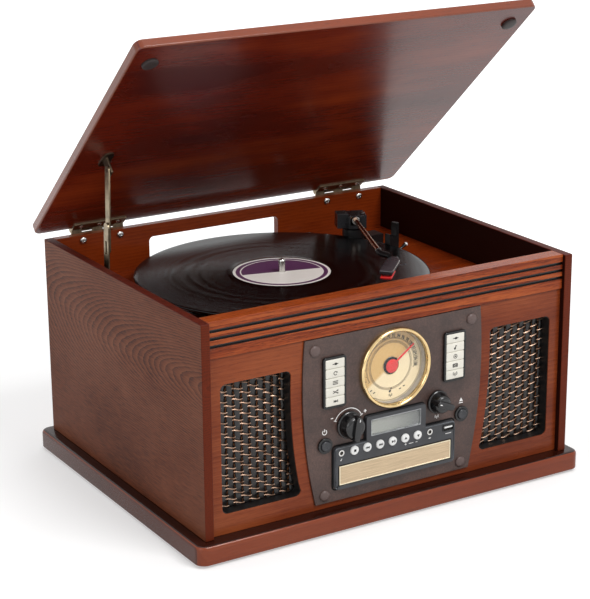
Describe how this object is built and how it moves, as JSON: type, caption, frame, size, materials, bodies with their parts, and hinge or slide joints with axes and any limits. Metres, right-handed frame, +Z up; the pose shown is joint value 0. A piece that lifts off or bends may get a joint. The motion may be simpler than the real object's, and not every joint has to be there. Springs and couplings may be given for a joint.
{
  "type": "stereo music centre",
  "caption": "Wooden stereo music centre with a turntable under a hinged stayed lid, a round tuning dial, knobs, keys, a display and a disc drawer between two grilles.",
  "frame": {"origin": "middle of the cabinet's footprint, on the surface it stands on", "axes": "+X to the right of someone facing the front, +Y to the back, +Z up"},
  "size_m": [0.446, 0.3628, 0.4752],
  "materials": {
    "side_wood": "satin",
    "front_wood": "satin",
    "lid_wood": "gloss",
    "deck_wood": "satin",
    "rubber": "matt",
    "plate_brown": "textured",
    "black_plastic": "satin",
    "charcoal": "satin",
    "display": "gloss",
    "silver": "satin",
    "brass": "polished",
    "dial_paper": "printed",
    "clear": "clear",
    "red_plastic": "gloss",
    "ivory": "satin",
    "white_plastic": "satin",
    "champagne": "satin",
    "dark_grey": "matt",
    "grille_weave": "woven",
    "speaker_black": "matt",
    "vinyl": "gloss",
    "steel": "satin",
    "antique_brass": "satin",
    "board_green": "satin"
  },
  "bodies": {
    "cabinet": {"plinth": "front_wood", "rubber_feet": "rubber", "left_side_panel": "side_wood", "right_side_panel": "side_wood", "back_panel": "deck_wood", "front_board": "front_wood", "fluted_rail": "front_wood", "deck_board": "deck_wood", "faceplate": "plate_brown", "button_surrounds": "black_plastic", "control_bezel": "charcoal", "lcd_window": "display", "front_sockets": "silver", "dial_bezel": "brass", "dial_face": "dial_paper", "dial_lens": "clear", "source_windows": "ivory", "cd_mechanism": "dark_grey", "speaker_grilles": "grille_weave", "speaker_drivers": "speaker_black", "spindle": "silver", "motor": "steel", "drive_belt": "rubber", "tonearm_base": "black_plastic", "transit_screw": "silver", "hinge_case_leaves": "antique_brass", "stay_case_bracket": "steel", "circuit_boards": "board_green", "rear_socket_panel": "black_plastic"},
    "lid": {"lid": "lid_wood", "lid_bumpers": "rubber", "hinge_lid_leaves": "antique_brass", "stay_lid_bracket": "steel"},
    "stay_upper_arm": {"stay_upper_arm": "antique_brass"},
    "stay_lower_arm": {"stay_lower_arm": "antique_brass"},
    "turntable": {"platter": "dark_grey", "record": "vinyl"},
    "motor_pulley": {"motor_pulley": "brass"},
    "arm_carrier": {"tonearm_gimbal": "black_plastic"},
    "tonearm": {"tonearm": "silver", "cartridge": "red_plastic"},
    "cue_lever": {"cue_lever": "black_plastic"},
    "dial_pointer": {"dial_pointer": "red_plastic"},
    "volume_knob": {"volume_knob": "black_plastic"},
    "tuning_knob": {"tuning_knob": "black_plastic"},
    "disc_drawer": {"cd_door": "champagne", "cd_tray": "dark_grey"},
    "power_button": {"power_button": "dark_grey"},
    "eject_button": {"eject_button": "dark_grey"},
    "function_key_1": {"function_key_1": "ivory"},
    "function_key_2": {"function_key_2": "ivory"},
    "function_key_3": {"function_key_3": "ivory"},
    "function_key_4": {"function_key_4": "ivory"},
    "function_key_5": {"function_key_5": "ivory"},
    "transport_button_1": {"transport_button_1": "white_plastic"},
    "transport_button_2": {"transport_button_2": "white_plastic"},
    "transport_button_3": {"transport_button_3": "white_plastic"},
    "transport_button_4": {"transport_button_4": "white_plastic"},
    "transport_button_5": {"transport_button_5": "white_plastic"},
    "transport_button_6": {"transport_button_6": "white_plastic"}
  },
  "joints": [
    {"name": "lid_hinge", "type": "hinge", "parent": "cabinet", "child": "lid", "pos_m": [0, 0.172, 0.236], "axis": [1, 0, 0], "range_deg": [0, 42]},
    {"name": "stay_lower_hinge", "type": "hinge", "parent": "cabinet", "child": "stay_lower_arm", "pos_m": [-0.19335, 0.058, 0.214], "axis": [1, 0, 0], "range_deg": [-85, 0]},
    {"name": "stay_upper_hinge", "type": "hinge", "parent": "lid", "child": "stay_upper_arm", "pos_m": [-0.19135, 0.0519, 0.3253], "axis": [1, 0, 0], "range_deg": [0, 45]},
    {"name": "turntable_spin", "type": "hinge", "parent": "cabinet", "child": "turntable", "pos_m": [-0.019, 0.012, 0.2036], "axis": [0, 0, 1], "continuous": true},
    {"name": "pulley_spin", "type": "hinge", "parent": "cabinet", "child": "motor_pulley", "pos_m": [-0.08742, 0.0515, 0.1925], "axis": [0, 0, 1], "continuous": true},
    {"name": "tonearm_swing", "type": "hinge", "parent": "cabinet", "child": "arm_carrier", "pos_m": [0.12453, 0.09892, 0.222], "axis": [0, 0, 1], "range_deg": [-18, 32]},
    {"name": "tonearm_lift", "type": "hinge", "parent": "arm_carrier", "child": "tonearm", "pos_m": [0.12453, 0.09892, 0.222], "axis": [-0.9272, 0.3746, 0], "range_deg": [0, 3.4]},
    {"name": "cue_lever_hinge", "type": "hinge", "parent": "cabinet", "child": "cue_lever", "pos_m": [0.13744, 0.03723, 0.1955], "axis": [0.1736, -0.9848, 0], "range_deg": [0, 40]},
    {"name": "volume_turn", "type": "hinge", "parent": "cabinet", "child": "volume_knob", "pos_m": [-0.0525, -0.165, 0.104], "axis": [0, 1, 0], "range_deg": [-140, 140]},
    {"name": "tuning_turn", "type": "hinge", "parent": "cabinet", "child": "tuning_knob", "pos_m": [0.0503, -0.165, 0.1063], "axis": [0, 1, 0], "range_deg": [-318, 102]},
    {"name": "pointer_turn", "type": "hinge", "parent": "cabinet", "child": "dial_pointer", "pos_m": [0, -0.165, 0.1513], "axis": [0, 1, 0], "range_deg": [-159, 51]},
    {"name": "drawer_slide", "type": "slide", "parent": "cabinet", "child": "disc_drawer", "axis": [0, -1, 0], "range_m": [0, 0.125]},
    {"name": "function_key_1_press", "type": "slide", "parent": "cabinet", "child": "function_key_1", "axis": [0, 1, 0], "range_m": [0, 0.0012], "stiffness_N_per_m": 250, "springref_m": -0.002},
    {"name": "function_key_2_press", "type": "slide", "parent": "cabinet", "child": "function_key_2", "axis": [0, 1, 0], "range_m": [0, 0.0012], "stiffness_N_per_m": 250, "springref_m": -0.002},
    {"name": "function_key_3_press", "type": "slide", "parent": "cabinet", "child": "function_key_3", "axis": [0, 1, 0], "range_m": [0, 0.0012], "stiffness_N_per_m": 250, "springref_m": -0.002},
    {"name": "function_key_4_press", "type": "slide", "parent": "cabinet", "child": "function_key_4", "axis": [0, 1, 0], "range_m": [0, 0.0012], "stiffness_N_per_m": 250, "springref_m": -0.002},
    {"name": "function_key_5_press", "type": "slide", "parent": "cabinet", "child": "function_key_5", "axis": [0, 1, 0], "range_m": [0, 0.0012], "stiffness_N_per_m": 250, "springref_m": -0.002},
    {"name": "transport_button_1_press", "type": "slide", "parent": "cabinet", "child": "transport_button_1", "axis": [0, 1, 0], "range_m": [0, 0.0012], "stiffness_N_per_m": 250, "springref_m": -0.002},
    {"name": "transport_button_2_press", "type": "slide", "parent": "cabinet", "child": "transport_button_2", "axis": [0, 1, 0], "range_m": [0, 0.0012], "stiffness_N_per_m": 250, "springref_m": -0.002},
    {"name": "transport_button_3_press", "type": "slide", "parent": "cabinet", "child": "transport_button_3", "axis": [0, 1, 0], "range_m": [0, 0.0012], "stiffness_N_per_m": 250, "springref_m": -0.002},
    {"name": "transport_button_4_press", "type": "slide", "parent": "cabinet", "child": "transport_button_4", "axis": [0, 1, 0], "range_m": [0, 0.0012], "stiffness_N_per_m": 250, "springref_m": -0.002},
    {"name": "transport_button_5_press", "type": "slide", "parent": "cabinet", "child": "transport_button_5", "axis": [0, 1, 0], "range_m": [0, 0.0012], "stiffness_N_per_m": 250, "springref_m": -0.002},
    {"name": "transport_button_6_press", "type": "slide", "parent": "cabinet", "child": "transport_button_6", "axis": [0, 1, 0], "range_m": [0, 0.0012], "stiffness_N_per_m": 250, "springref_m": -0.002},
    {"name": "power_press", "type": "slide", "parent": "cabinet", "child": "power_button", "axis": [0, 1, 0], "range_m": [0, 0.0012], "stiffness_N_per_m": 250, "springref_m": -0.002},
    {"name": "eject_press", "type": "slide", "parent": "cabinet", "child": "eject_button", "axis": [0, 1, 0], "range_m": [0, 0.0012], "stiffness_N_per_m": 250, "springref_m": -0.002}
  ],
  "couplings": [
    {"joint": "stay_lower_hinge", "follows": "lid_hinge", "ratio": -1.9862},
    {"joint": "stay_upper_hinge", "follows": "lid_hinge", "ratio": 1.0401},
    {"joint": "pulley_spin", "follows": "turntable_spin", "ratio": 9.06},
    {"joint": "pointer_turn", "follows": "tuning_turn", "ratio": 0.5},
    {"joint": "tonearm_lift", "follows": "cue_lever_hinge", "ratio": 0.085}
  ]
}
